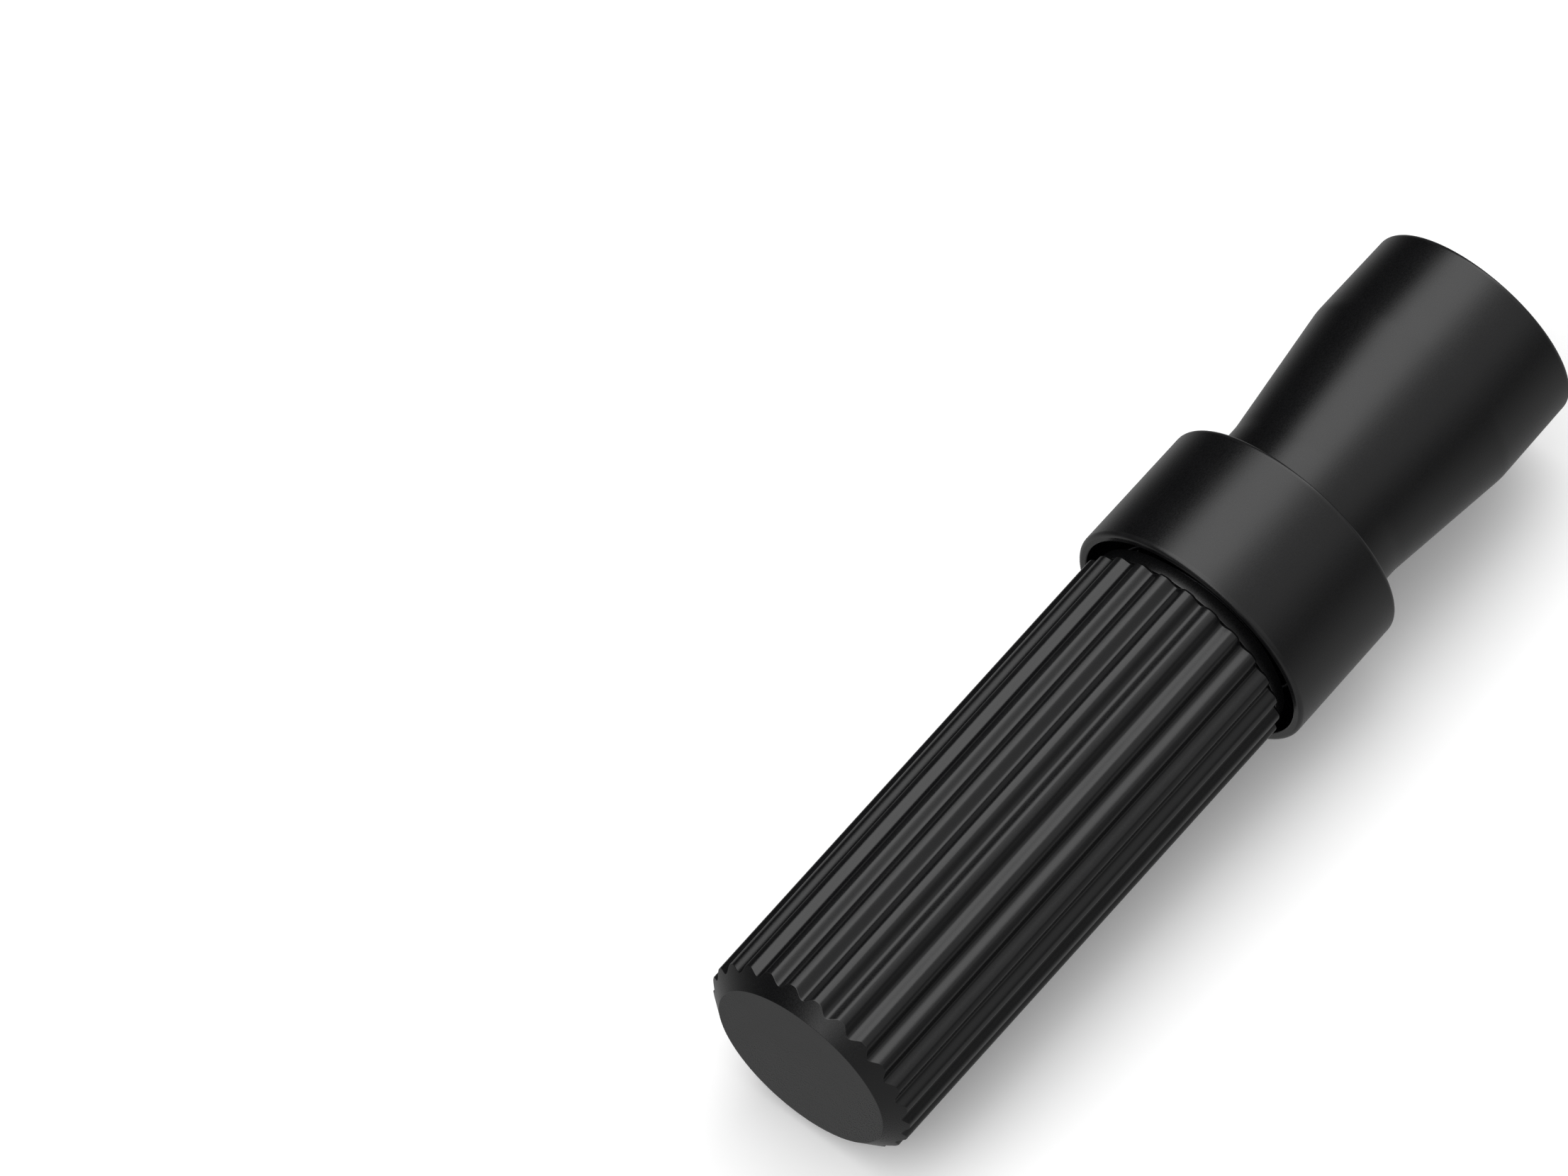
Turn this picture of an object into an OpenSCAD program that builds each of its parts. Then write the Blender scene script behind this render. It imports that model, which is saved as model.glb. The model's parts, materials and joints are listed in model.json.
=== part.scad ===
// Pocket spring bar tool: fluted grip, quick-release collar and flared pull-off cap.
// The axis of the tool is level and runs along +X, from the closed end to the cap.
// The origin is under the middle of the tool, on the surface that the collar touches.
// Every station, such as collar_rear, is a distance from the closed end along the axis.

/* [Grip] */
// Diameter over the ridges of the grip
grip_d = 14; // [11.5:0.1:20]
// Length of the grip
grip_l = 33.8; // [28:0.1:60]
// Number of ridges round the grip
ridges = 25; // [16:1:36]
// Depth of each groove between two ridges
groove_depth = 0.38; // [0.2:0.02:0.6]
// Width of the land on top of each ridge
ridge_land = 0.24; // [0.1:0.02:0.5]
// Angle of the first ridge from the lowest point of the grip
ridge_turn = 10.75; // [0:0.05:15]
// Length of the chamfer at the closed end
end_chamfer_l = 0.93; // [0.4:0.01:1.5]
// Radial depth of the chamfer at the closed end
end_chamfer_r = 1.18; // [0.4:0.01:1.8]
// Thickness of the closed end
end_wall = 4; // [1.5:0.1:6]

/* [Chuck] */
// Diameter of the spigot that screws into the grip
spigot_d = 10; // [9:0.1:10.6]
// Length of the spigot
spigot_l = 10.4; // [6:0.1:14]
// Thickness of the flange that closes the grip
flange_t = 0.8; // [0.4:0.1:2]
// Diameter of the barrel that the collar slides on, and of the nose that the cap fits
barrel_d = 9.8; // [9.4:0.1:11.8]
// Length of the nose inside the cap
nose_l = 7.1; // [6:0.1:10]
// How far each locking ball reaches into the tip holder
ball_bite = 0.4; // [0.3:0.02:0.5]

/* [Collar] */
// Length of the collar
collar_l = 8.6; // [8.2:0.1:12]
// Wall of the collar's skirt at its rear edge
skirt_wall = 0.6; // [0.4:0.05:1.2]
// Radial gap between the skirt and the ridges of the grip
skirt_gap = 0.35; // [0.15:0.05:0.8]
// Slack along the axis between the grip and the collar at rest
collar_gap = 0.6; // [0.2:0.1:1]
// How far the collar is pulled back to free the tip holder
collar_travel = 1.8; // [1.4:0.1:2]
// How much narrower the collar is at its front edge
collar_taper = 0.12; // [0:0.02:0.4]
// Diameter of the collar spring's wire
spring_wire = 0.35; // [0.25:0.05:0.4]

/* [Cap] */
// Wall of the cap's neck
neck_wall = 0.97; // [0.6:0.01:1.2]
// Length of plain neck that shows in front of the collar
neck_l = 2.7; // [1:0.1:4]
// Length of the flare
flare_l = 8.4; // [6:0.1:10.5]
// Diameter at the end of the flare
head_d = 13.86; // [13:0.02:18]
// Diameter at the far rim
rim_d = 13.68; // [13:0.02:18]
// Thickness of the cap's closed end
cap_end_wall = 2.2; // [1:0.1:4]

/* [Tips] */
// Diameter of the tip holder
holder_d = 5; // [4.4:0.1:6]
// Length of the tip holder
holder_l = 25.6; // [23:0.1:28]
// Diameter of the stem of every tip
stem_d = 1.9; // [1.6:0.1:2.2]
// Length of stem inside the holder
stem_l = 6.5; // [4.5:0.1:8]
// Length of the fork outside the holder
fork_l = 4.4; // [3.5:0.1:5.5]
// Thickness of the fork's blade
blade_t = 0.7; // [0.4:0.05:1]
// Width of the notch in the fork
notch_w = 0.8; // [0.5:0.05:1]
// Length of the pin tip outside the holder
pin_l = 5; // [3.5:0.1:6]
// Diameter of the pin
pin_d = 0.8; // [0.5:0.05:1]

/* [Store in the grip] */
// Diameter of the store drilled in the grip
store_d = 8.4; // [8.2:0.1:9]
// Length of the rack that holds the spare tips
rack_l = 12.4; // [10.5:0.1:15]
// Thickness of the soft disc under the rack
rack_cushion_t = 0.9; // [0.5:0.1:1.2]

/* [Hidden] */
$fn = 96;

// Clearances, all radial unless their comment says otherwise
thread_clear = 0.02;    // spigot in the grip, holder in the chuck, screws and stems in the holder
run_clear = 0.03;       // collar on the barrel, ball on the collar
ball_hole_clear = 0.04; // ball in its hole
washer_clear = 0.05;    // washer on the barrel and in the skirt
cap_clear = 0.07;       // cap on the nose
ring_clear = 0.04;      // rings of rubber inside a bore
recess_clear = 0.16;    // cap's neck in the collar's front recess
push_clear = 0.05;      // rack and soft discs in their bores
release_gap = 0.1;      // holder to a ball that is fully out
seat_gap = 0.05;        // ball to its dimple in the holder
tip_gap = 0.2;          // fork to the soft disc in the cap, along the axis
cap_rear_gap = 0.2;     // retaining ring to the cap, along the axis
counterbore_gap = 0.4;  // nose to the floor of the cap's counterbore, along the axis
ball_margin = 0.1;      // ball to the recess when the collar is fully back, along the axis

// Small sizes of single features
edge_r = 0.28;          // rounding of the collar's and the cap's outer edges
edge_steps = 6;         // chords in a rounded edge
edge_break = 0.15;      // small chamfers
flange_step = 0.4;      // how far the flange stays inside the ridges
recess_depth = 1.5;     // depth of the collar's front recess
web_t = 2.9;            // thickness of the collar's web, which holds the balls in
washer_t = 0.5;
ring_t = 0.6;           // thickness of the retaining ring
ring_seat = 0.4;        // depth of the retaining ring's groove
ring_bearing = 0.35;    // how far the ring reaches past the ramp in the collar
ring_opening = 50;      // angle of the opening in the retaining ring
groove_spare = 0.22;    // how much wider a rubber ring's groove is than the ring
body_oring_t = 0.68;    // section of the ring on the spigot
cap_oring_t = 0.88;     // section of the ring on the nose
body_oring_in = 1.1;    // middle of the spigot's ring, from the flange
cap_oring_in = 3.45;    // middle of the nose's ring, from the cap's rear edge
tip_bore_d = 6.8;       // bore round the tip, in the cap
cushion_t = 0.8;        // thickness of the soft disc in the cap
holder_chamfer = 0.4;
screw_d = 1.56;         // set screws that hold the tips
screw_in = 1.4;         // middle of each set screw, from the holder's end
screw_hex = 0.75;       // across the corners of the screw's hexagon
screw_hex_depth = 0.6;
screw_turn = 60;        // angle of the set screws round the axis, between two balls
blade_l = 3.2;          // flat part of the fork
blade_tip_w = 1.5;      // width of the blade at its end
notch_depth = 0.9;
pin_cone_l = 1;         // cone between stem and pin
spare_overhang = 1.5;   // how much of each spare fork stands out of the rack
rack_pitch_r = 2.3;     // circle that the rack's holes lie on
spare_fork_angles = [0, 180];
spare_pin_angles = [90, 270];
ball_angles = [0, 120, 240];
spring_turns = 3.5;
spring_end_turns = 1;   // closed turns at each end of the spring
spring_gap = 0.04;      // gap between the closed turns
spring_sides = 10;
spring_rings = 28;      // rings of the spring's mesh in each turn
over = 1;               // how far a cut runs past what it cuts

// Radii
grip_r = grip_d / 2;
skirt_bore_r = grip_r + skirt_gap;
collar_r = skirt_bore_r + skirt_wall;
collar_front_r = collar_r - collar_taper / 2;
flange_r = grip_r - flange_step;
spigot_r = spigot_d / 2;
barrel_r = barrel_d / 2;
holder_r = holder_d / 2;
socket_r = holder_r + thread_clear;
ball_r = (barrel_r - holder_r + ball_bite) / 2;
ball_centre_r = barrel_r - ball_r;
collar_bore_r = barrel_r + run_clear;
cap_bore_r = barrel_r + cap_clear;
neck_r = cap_bore_r + neck_wall;
stem_r = stem_d / 2;
stem_bore_r = stem_r + thread_clear;
store_r = store_d / 2;

// Stations
flange_front = grip_l + flange_t;
spigot_rear = grip_l - spigot_l;
collar_rear = grip_l + collar_gap;
collar_front = collar_rear + collar_l;
recess_floor = collar_front - recess_depth;
web_rear = recess_floor - web_t;
washer_rear = web_rear - washer_t;
ball_at = recess_floor - collar_travel - ball_margin;
ring_front = recess_floor + ring_t;
cap_rear = ring_front + cap_rear_gap;
nose_front = cap_rear + nose_l;
holder_rear = ball_at - holder_l / 2;
holder_front = ball_at + holder_l / 2;
fork_end = holder_front + fork_l;
cushion_rear = fork_end + tip_gap;
cap_floor = cushion_rear + cushion_t;
tool_l = cap_floor + cap_end_wall;
flare_start = collar_front + neck_l;
flare_end = flare_start + flare_l;

// Ramp in the collar: each ball moves out as the collar moves back, at a fixed ratio
ball_lift = ball_bite + release_gap;
ramp_slope = ball_lift / collar_travel;
ramp_r_at_ball = ball_centre_r + (ball_r + run_clear) / cos(atan(ramp_slope));
ramp_start = ball_at - (ramp_r_at_ball - collar_bore_r) / ramp_slope;
ramp_end_r = ramp_r_at_ball + ramp_slope * (recess_floor - ball_at);
ring_r = ramp_end_r + ring_bearing;
recess_r = max(neck_r, ring_r) + recess_clear;

anodised = [0.07, 0.07, 0.075];
steel = [0.62, 0.62, 0.63];
rubber = [0.05, 0.05, 0.05];
acetal = [0.85, 0.84, 0.8];

// Points of an arc about [cr, cs], as [radius, station], from angle a0 to angle a1
function arc(cr, cs, r, a0, a1, n = edge_steps) =
    [for (i = [0:n]) [cr + r * cos(a0 + (a1 - a0) * i / n), cs + r * sin(a0 + (a1 - a0) * i / n)]];

// Turns the local Z axis into the axis of the tool, with Z = 0 at the closed end
module on_axis() {
    translate([-tool_l / 2, 0, collar_r]) rotate([0, 90, 0]) children();
}

// Solid of revolution from [radius, station] points
module turned(points) {
    on_axis() rotate_extrude() polygon(points);
}

// Places a shape at a station, turned about the axis, with its own +Z pointing outwards
module radially(station, angle) {
    translate([station - tool_l / 2, 0, collar_r]) rotate([angle, 0, 0]) children();
}

// Outline of the ridges: each groove is one wave of a cosine, in straight steps, between two plain lands.
// The last step on each side runs on a little past the land's edge, and the grip's diameter cuts it off.
module ridge_outline() {
    steps = 5;
    half_pitch = 180 / ridges;
    groove_half = half_pitch - asin(ridge_land / 2 / grip_r);
    flank = [
        for (i = [0:steps])
            let (r = grip_r - groove_depth * (1 + cos(180 * i / steps)) / 2)
            r * [cos(groove_half * i / steps), sin(groove_half * i / steps)]
    ];
    past = flank[steps] + (flank[steps] - flank[steps - 1]) / 2;
    right = concat([for (i = [0:steps - 1]) flank[i]], [past]);
    groove = concat([for (i = [steps:-1:1]) [right[i][0], -right[i][1]]], right);
    points = [
        for (k = [0:ridges - 1], p = groove)
            let (a = 2 * half_pitch * (k + 0.5) + ridge_turn)
            [p[0] * cos(a) - p[1] * sin(a), p[0] * sin(a) + p[1] * cos(a)]
    ];
    polygon(points);
}

module grip() {
    bore_r = spigot_r + thread_clear;
    color(anodised) intersection() {
        turned([
            [0, 0], [grip_r - end_chamfer_r, 0], [grip_r, end_chamfer_l],
            [grip_r, grip_l - edge_break], [grip_r - edge_break, grip_l],
            [bore_r, grip_l], [bore_r, spigot_rear - edge_break],
            [store_r, spigot_rear - edge_break], [store_r, end_wall], [0, end_wall]
        ]);
        on_axis() translate([0, 0, -over]) linear_extrude(grip_l + 2 * over) ridge_outline();
    }
}

// Rubber ring of round section t, seated on radius seat_r
module rubber_ring(seat_r, t, station) {
    color(rubber) on_axis() translate([0, 0, station])
        rotate_extrude() translate([seat_r + t / 2, 0]) circle(d = t);
}

body_oring_seat = spigot_r + thread_clear - body_oring_t - ring_clear;
body_oring_at = grip_l - body_oring_in;
cap_oring_seat = cap_bore_r - cap_oring_t - ring_clear;
cap_oring_at = cap_rear + cap_oring_in;

module body_oring() { rubber_ring(body_oring_seat, body_oring_t, body_oring_at); }

module cap_oring() { rubber_ring(cap_oring_seat, cap_oring_t, cap_oring_at); }

module chuck_body() {
    body_half = (body_oring_t + groove_spare) / 2;
    cap_half = (cap_oring_t + groove_spare) / 2;
    color(anodised) difference() {
        turned([
            [socket_r, spigot_rear], [spigot_r - edge_break, spigot_rear],
            [spigot_r, spigot_rear + edge_break],
            [spigot_r, body_oring_at - body_half], [body_oring_seat, body_oring_at - body_half],
            [body_oring_seat, body_oring_at + body_half], [spigot_r, body_oring_at + body_half],
            [spigot_r, grip_l], [flange_r, grip_l], [flange_r, flange_front],
            [barrel_r, flange_front],
            [barrel_r, recess_floor], [barrel_r - ring_seat, recess_floor],
            [barrel_r - ring_seat, ring_front], [barrel_r, ring_front],
            [barrel_r, cap_oring_at - cap_half], [cap_oring_seat, cap_oring_at - cap_half],
            [cap_oring_seat, cap_oring_at + cap_half], [barrel_r, cap_oring_at + cap_half],
            [barrel_r, nose_front - 2 * edge_break], [barrel_r - 2 * edge_break, nose_front],
            [socket_r + 2 * edge_break, nose_front], [socket_r, nose_front - 2 * edge_break]
        ]);
        for (a = ball_angles)
            radially(ball_at, a) cylinder(r = ball_r + ball_hole_clear, h = barrel_r + over);
    }
}

module collar() {
    color(anodised) turned(concat(
        [[skirt_bore_r + edge_break, collar_rear]],
        arc(collar_r - edge_r, collar_rear + edge_r, edge_r, -90, 0),
        arc(collar_front_r - edge_r, collar_front - edge_r, edge_r, 0, 90),
        [
            [recess_r + edge_break, collar_front], [recess_r, collar_front - edge_break],
            [recess_r, recess_floor], [ramp_end_r, recess_floor],
            [collar_bore_r, ramp_start], [collar_bore_r, web_rear],
            [skirt_bore_r, web_rear], [skirt_bore_r, collar_rear + edge_break]
        ]
    ));
}

module thrust_washer() {
    color(steel) turned([
        [barrel_r + washer_clear, washer_rear], [skirt_bore_r - washer_clear, washer_rear],
        [skirt_bore_r - washer_clear, web_rear], [barrel_r + washer_clear, web_rear]
    ]);
}

// Height of the spring's wire after t turns: closed turns at both ends and open turns between
spring_l = washer_rear - flange_front;
spring_closed = spring_wire + spring_gap;
spring_open = (spring_l - spring_wire - 2 * spring_end_turns * spring_closed)
    / (spring_turns - 2 * spring_end_turns);
function spring_rise(t) =
    t < spring_end_turns ? t * spring_closed
    : t < spring_turns - spring_end_turns
        ? spring_end_turns * spring_closed + (t - spring_end_turns) * spring_open
    : spring_l - spring_wire - (spring_turns - t) * spring_closed;

module collar_spring() {
    wire_r = spring_wire / 2;
    mean_r = (barrel_r + flange_r) / 2;
    last = ceil(spring_turns * spring_rings);
    points = [
        for (i = [0:last], j = [0:spring_sides - 1])
            let (t = spring_turns * i / last, a = 360 * t, b = 360 * j / spring_sides)
            let (r = mean_r + wire_r * cos(b))
            [r * cos(a), r * sin(a), flange_front + wire_r + spring_rise(t) + wire_r * sin(b)]
    ];
    sides = [
        for (i = [0:last - 1], j = [0:spring_sides - 1])
            let (k = (j + 1) % spring_sides, n = i * spring_sides)
            [n + j, n + k, n + spring_sides + k, n + spring_sides + j]
    ];
    start = [for (j = [spring_sides - 1:-1:0]) j];
    end = [for (j = [0:spring_sides - 1]) last * spring_sides + j];
    color(steel) on_axis() polyhedron(points, concat(sides, [start, end]));
}

module retaining_ring() {
    opening = ring_r * tan(ring_opening / 2);
    color(steel) difference() {
        turned([
            [barrel_r - ring_seat, recess_floor], [ring_r, recess_floor],
            [ring_r, ring_front], [barrel_r - ring_seat, ring_front]
        ]);
        on_axis() translate([0, 0, recess_floor - over]) linear_extrude(ring_t + 2 * over)
            polygon([[0, 0], [2 * ring_r, -2 * opening], [2 * ring_r, 2 * opening]]);
    }
}

module locking_ball(angle) {
    color(steel) radially(ball_at, angle) translate([0, 0, ball_centre_r]) sphere(r = ball_r);
}

module ball_1() { locking_ball(ball_angles[0]); }

module ball_2() { locking_ball(ball_angles[1]); }

module ball_3() { locking_ball(ball_angles[2]); }

// Double-ended holder: a tip at each end, and a dimple in the middle for each ball
module tip_holder() {
    color(steel) difference() {
        turned([
            [0, holder_rear + stem_l], [stem_bore_r, holder_rear + stem_l],
            [stem_bore_r, holder_rear], [holder_r - holder_chamfer, holder_rear],
            [holder_r, holder_rear + holder_chamfer], [holder_r, holder_front - holder_chamfer],
            [holder_r - holder_chamfer, holder_front], [stem_bore_r, holder_front],
            [stem_bore_r, holder_front - stem_l], [0, holder_front - stem_l]
        ]);
        for (a = ball_angles)
            radially(ball_at, a) translate([0, 0, ball_centre_r]) sphere(r = ball_r + seat_gap);
        for (station = [holder_rear + screw_in, holder_front - screw_in])
            radially(station, screw_turn) cylinder(d = screw_d + 2 * thread_clear, h = holder_r + over);
    }
}

module tip_set_screws() {
    top = holder_r - edge_break;
    for (station = [holder_rear + screw_in, holder_front - screw_in])
        color(steel) radially(station, screw_turn) difference() {
            translate([0, 0, stem_r]) cylinder(d = screw_d, h = top - stem_r);
            translate([0, 0, top - screw_hex_depth])
                cylinder(d = screw_hex, h = screw_hex_depth + over, $fn = 6);
        }
}

// Fork with its stem's end at Z = 0: a round stem, then a tapered flat blade with a notch
module fork() {
    total = stem_l + fork_l;
    blade_from = total - blade_l;
    difference() {
        intersection() {
            cylinder(r = stem_r, h = total);
            rotate([90, 0, 0]) linear_extrude(2 * stem_d, center = true) polygon([
                [-stem_r, 0], [stem_r, 0], [stem_r, blade_from],
                [blade_tip_w / 2, total], [-blade_tip_w / 2, total], [-stem_r, blade_from]
            ]);
        }
        for (side = [-1, 1])
            translate([-stem_d, side > 0 ? blade_t / 2 : -blade_t / 2 - stem_d, blade_from])
                cube([2 * stem_d, stem_d, blade_l + over]);
        translate([-notch_w / 2, -stem_d, total - notch_depth + notch_w / 2])
            cube([notch_w, 2 * stem_d, notch_depth]);
        translate([0, 0, total - notch_depth + notch_w / 2])
            rotate([90, 0, 0]) cylinder(d = notch_w, h = 2 * stem_d, center = true);
    }
}

// Pin with its stem's end at Z = 0: a round stem, a cone and a straight pin
module pin() {
    pin_r = pin_d / 2;
    total = stem_l + pin_l;
    rotate_extrude() polygon([
        [0, 0], [stem_r, 0], [stem_r, stem_l], [pin_r, stem_l + pin_cone_l],
        [pin_r, total - edge_break], [pin_r - edge_break, total], [0, total]
    ]);
}

module fork_tip() {
    color(steel) on_axis() translate([0, 0, holder_front - stem_l]) rotate([0, 0, 90]) fork();
}

module pin_tip() {
    color(steel) on_axis() translate([0, 0, holder_rear + stem_l]) rotate([180, 0, 0]) pin();
}

module cap() {
    tip_bore_r = tip_bore_d / 2;
    counterbore = nose_front + counterbore_gap;
    rim_r = rim_d / 2;
    color(anodised) turned(concat(
        [
            [0, cap_floor], [tip_bore_r, cap_floor], [tip_bore_r, counterbore],
            [cap_bore_r, counterbore], [cap_bore_r, cap_rear + edge_break],
            [cap_bore_r + edge_break, cap_rear], [neck_r - edge_break, cap_rear],
            [neck_r, cap_rear + edge_break], [neck_r, flare_start], [head_d / 2, flare_end]
        ],
        arc(rim_r - edge_r, tool_l - edge_r, edge_r, 0, 90),
        [[0, tool_l]]
    ));
}

// Plain disc of radius r between two stations
module disc(r, from, to) {
    on_axis() translate([0, 0, from]) cylinder(r = r, h = to - from);
}

module tip_cushion() { color(rubber) disc(tip_bore_d / 2 - push_clear, cushion_rear, cap_floor); }

module rack_cushion() { color(rubber) disc(store_r - push_clear, end_wall, end_wall + rack_cushion_t); }

rack_rear = end_wall + rack_cushion_t;
rack_front = rack_rear + rack_l;
rack_hole_floor = rack_front + spare_overhang - stem_l - fork_l;

// Places a shape in the rack, on a hole's floor, at an angle round the axis
module in_rack(angle) {
    on_axis() rotate([0, 0, angle]) translate([rack_pitch_r, 0, rack_hole_floor]) children();
}

module tip_rack() {
    color(acetal) difference() {
        disc(store_r - push_clear, rack_rear, rack_front);
        for (a = concat(spare_fork_angles, spare_pin_angles))
            in_rack(a) cylinder(r = stem_r + push_clear, h = rack_l);
    }
}

module spare_fork_tips() { for (a = spare_fork_angles) color(steel) in_rack(a) fork(); }

module spare_pin_tips() { for (a = spare_pin_angles) color(steel) in_rack(a) pin(); }

grip();
body_oring();
chuck_body();
collar();
thrust_washer();
collar_spring();
retaining_ring();
ball_1();
ball_2();
ball_3();
tip_holder();
fork_tip();
pin_tip();
tip_set_screws();
cap();
cap_oring();
tip_cushion();
tip_rack();
spare_fork_tips();
spare_pin_tips();
rack_cushion();
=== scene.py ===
"""Looks of a pocket spring bar tool: its pieces, finishes, floor, light and camera.

The tool's axis runs along +X. Each piece is a surface worked out from its sizes and carried round that axis,
and it stands for the plain solid of the same piece. Lengths are in metres.
"""

import json
import math

import bmesh
import bpy
import numpy as np
from bpy.props import FloatProperty, FloatVectorProperty, IntProperty, PointerProperty
from mathutils import Matrix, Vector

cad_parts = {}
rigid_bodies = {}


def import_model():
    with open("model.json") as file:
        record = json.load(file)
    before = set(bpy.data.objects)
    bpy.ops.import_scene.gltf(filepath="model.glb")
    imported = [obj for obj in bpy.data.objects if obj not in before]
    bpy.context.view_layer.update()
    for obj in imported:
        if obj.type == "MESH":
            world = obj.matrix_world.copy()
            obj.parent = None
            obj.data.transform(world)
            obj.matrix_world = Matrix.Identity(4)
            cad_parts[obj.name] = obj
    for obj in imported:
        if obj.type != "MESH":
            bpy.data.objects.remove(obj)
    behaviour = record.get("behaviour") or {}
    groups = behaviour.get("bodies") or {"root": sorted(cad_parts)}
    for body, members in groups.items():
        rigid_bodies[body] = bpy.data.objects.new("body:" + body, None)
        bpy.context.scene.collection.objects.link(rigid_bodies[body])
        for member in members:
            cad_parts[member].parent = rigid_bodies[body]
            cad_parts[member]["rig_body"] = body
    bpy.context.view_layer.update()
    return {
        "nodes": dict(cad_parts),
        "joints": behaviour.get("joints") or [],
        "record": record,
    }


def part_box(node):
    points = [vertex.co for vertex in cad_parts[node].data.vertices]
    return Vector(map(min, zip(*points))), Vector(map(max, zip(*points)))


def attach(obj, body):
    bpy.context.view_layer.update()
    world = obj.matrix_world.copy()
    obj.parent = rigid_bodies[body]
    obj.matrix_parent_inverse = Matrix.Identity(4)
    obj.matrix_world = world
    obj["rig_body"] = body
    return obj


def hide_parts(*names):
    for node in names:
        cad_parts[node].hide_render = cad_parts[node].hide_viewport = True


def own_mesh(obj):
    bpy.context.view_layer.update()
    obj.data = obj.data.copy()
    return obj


bl_info = {
    "name": "Pocket spring bar tool",
    "version": (1, 0, 0),
    "blender": (4, 5, 0),
    "location": "3D View > Sidebar > Spring bar tool",
    "description": "Builds the pieces, finishes, floor, light and camera of a pocket spring bar tool",
    "category": "Object",
}

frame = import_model()
SLOT_OF = {part["node"]: part["material_slot"] for part in frame["record"]["subparts"]}
AXIS_Z = next(joint for joint in frame["joints"] if joint["name"] == "collar_spin")["pos_m"][2]
BALL_TURNS = np.radians([0, 120, 240])
SCREW_TURN = math.radians(60)
FULL_TURN = 2 * math.pi
MM = 0.001
ARC_SHARE = 0.45  # most of a side that one corner's arc may take
GUARD_SHARE = 0.04  # most of a side between an arc and the point that guards its shading
OVER = 1 * MM  # how far a cutting shape runs past the piece


# Sizes taken from the frame


def span(node):
    """First and last place of a node along the axis."""
    low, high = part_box(node)
    return low.x, high.x


def reach(node):
    """Largest distance of a node's surface from the axis."""
    mesh = frame["nodes"][node].data
    place = np.empty(3 * len(mesh.vertices))
    mesh.vertices.foreach_get("co", place)
    return float(np.hypot(place[1::3], place[2::3] - AXIS_Z).max())


def length_of(name, description, default):
    """A property that holds a length in metres."""
    return FloatProperty(
        name=name, description=description, default=default, precision=5, unit="LENGTH", subtype="DISTANCE"
    )


def angle_of(name, description, degrees):
    """A property that holds an angle."""
    return FloatProperty(
        name=name, description=description, default=math.radians(degrees), unit="ROTATION", subtype="ANGLE"
    )


def share_of(name, description, default):
    """A property that holds a plain number."""
    return FloatProperty(name=name, description=description, default=default, precision=4)


def colour_of(name, description, default):
    """A property that holds a colour."""
    return FloatVectorProperty(
        name=name, description=description, default=default, size=3, min=0, max=1, subtype="COLOR"
    )


class GripSizes(bpy.types.PropertyGroup):
    """Sizes of the fluted grip."""

    diameter: length_of("Diameter", "Across two opposite ridges", 2 * reach("grip"))
    ridges: IntProperty(name="Ridges", description="Number of ridges round the grip", default=25)
    groove: length_of("Groove depth", "From a ridge down to the bottom of a groove", 0.38 * MM)
    land: length_of("Land", "Width of the land on top of each ridge", 0.24 * MM)
    turn: angle_of("First ridge", "Angle of the first ridge from the lowest line of the grip", 10.75)
    chamfer_l: length_of("Chamfer length", "Length of the chamfer at the closed end", 0.93 * MM)
    chamfer_r: length_of("Chamfer depth", "Radial depth of the chamfer at the closed end", 1.18 * MM)
    end_wall: length_of("End wall", "Thickness of the closed end", 4 * MM)
    bore: length_of("Bore", "Diameter of the bore for the chuck", 10.04 * MM)
    store: length_of("Store", "Diameter of the store for the spare tips", 8.4 * MM)
    edge: length_of("Edge", "Small chamfer at the open end", 0.15 * MM)
    edge_round: length_of("Edge rounding", "Radius on the turned edges", 0.06 * MM)


class ChuckSizes(bpy.types.PropertyGroup):
    """Sizes of the chuck body and of the parts that sit on it."""

    spigot: length_of("Spigot", "Diameter of the spigot in the grip", 10 * MM)
    barrel: length_of("Barrel", "Diameter of the barrel and of the nose", 9.8 * MM)
    socket: length_of("Socket", "Diameter of the socket for the tip holder", 5.04 * MM)
    rear_seat: length_of("Rear seat", "Diameter of the groove for the rear rubber ring", 8.60 * MM)
    front_seat: length_of("Front seat", "Diameter of the groove for the front rubber ring", 8.10 * MM)
    groove_spare: length_of("Groove spare", "How much wider a groove is than its ring", 0.22 * MM)
    ring_seat: length_of("Ring seat", "Depth of the groove for the retaining ring", 0.4 * MM)
    edge: length_of("Edge", "Small chamfers", 0.15 * MM)
    edge_round: length_of("Edge rounding", "Radius on the turned edges", 0.04 * MM)
    ring_opening: angle_of("Ring opening", "Angle of the opening in the retaining ring", 50)
    ball: length_of("Ball", "Diameter of each locking ball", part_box("ball_1")[1].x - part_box("ball_1")[0].x)
    ball_clear: length_of("Ball clearance", "Gap between a ball and its hole", 0.04 * MM)
    washer_bore: length_of("Washer bore", "Diameter of the bore in the thrust washer", 9.9 * MM)


class SpringSizes(bpy.types.PropertyGroup):
    """Sizes of the collar spring."""

    wire: length_of("Wire", "Diameter of the wire", 0.35 * MM)
    turns: share_of("Turns", "Number of turns, the closed ones included", 3.5)
    end_turns: share_of("End turns", "Closed turns at each end", 1)
    end_gap: length_of("End gap", "Gap between the closed turns", 0.04 * MM)


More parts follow.
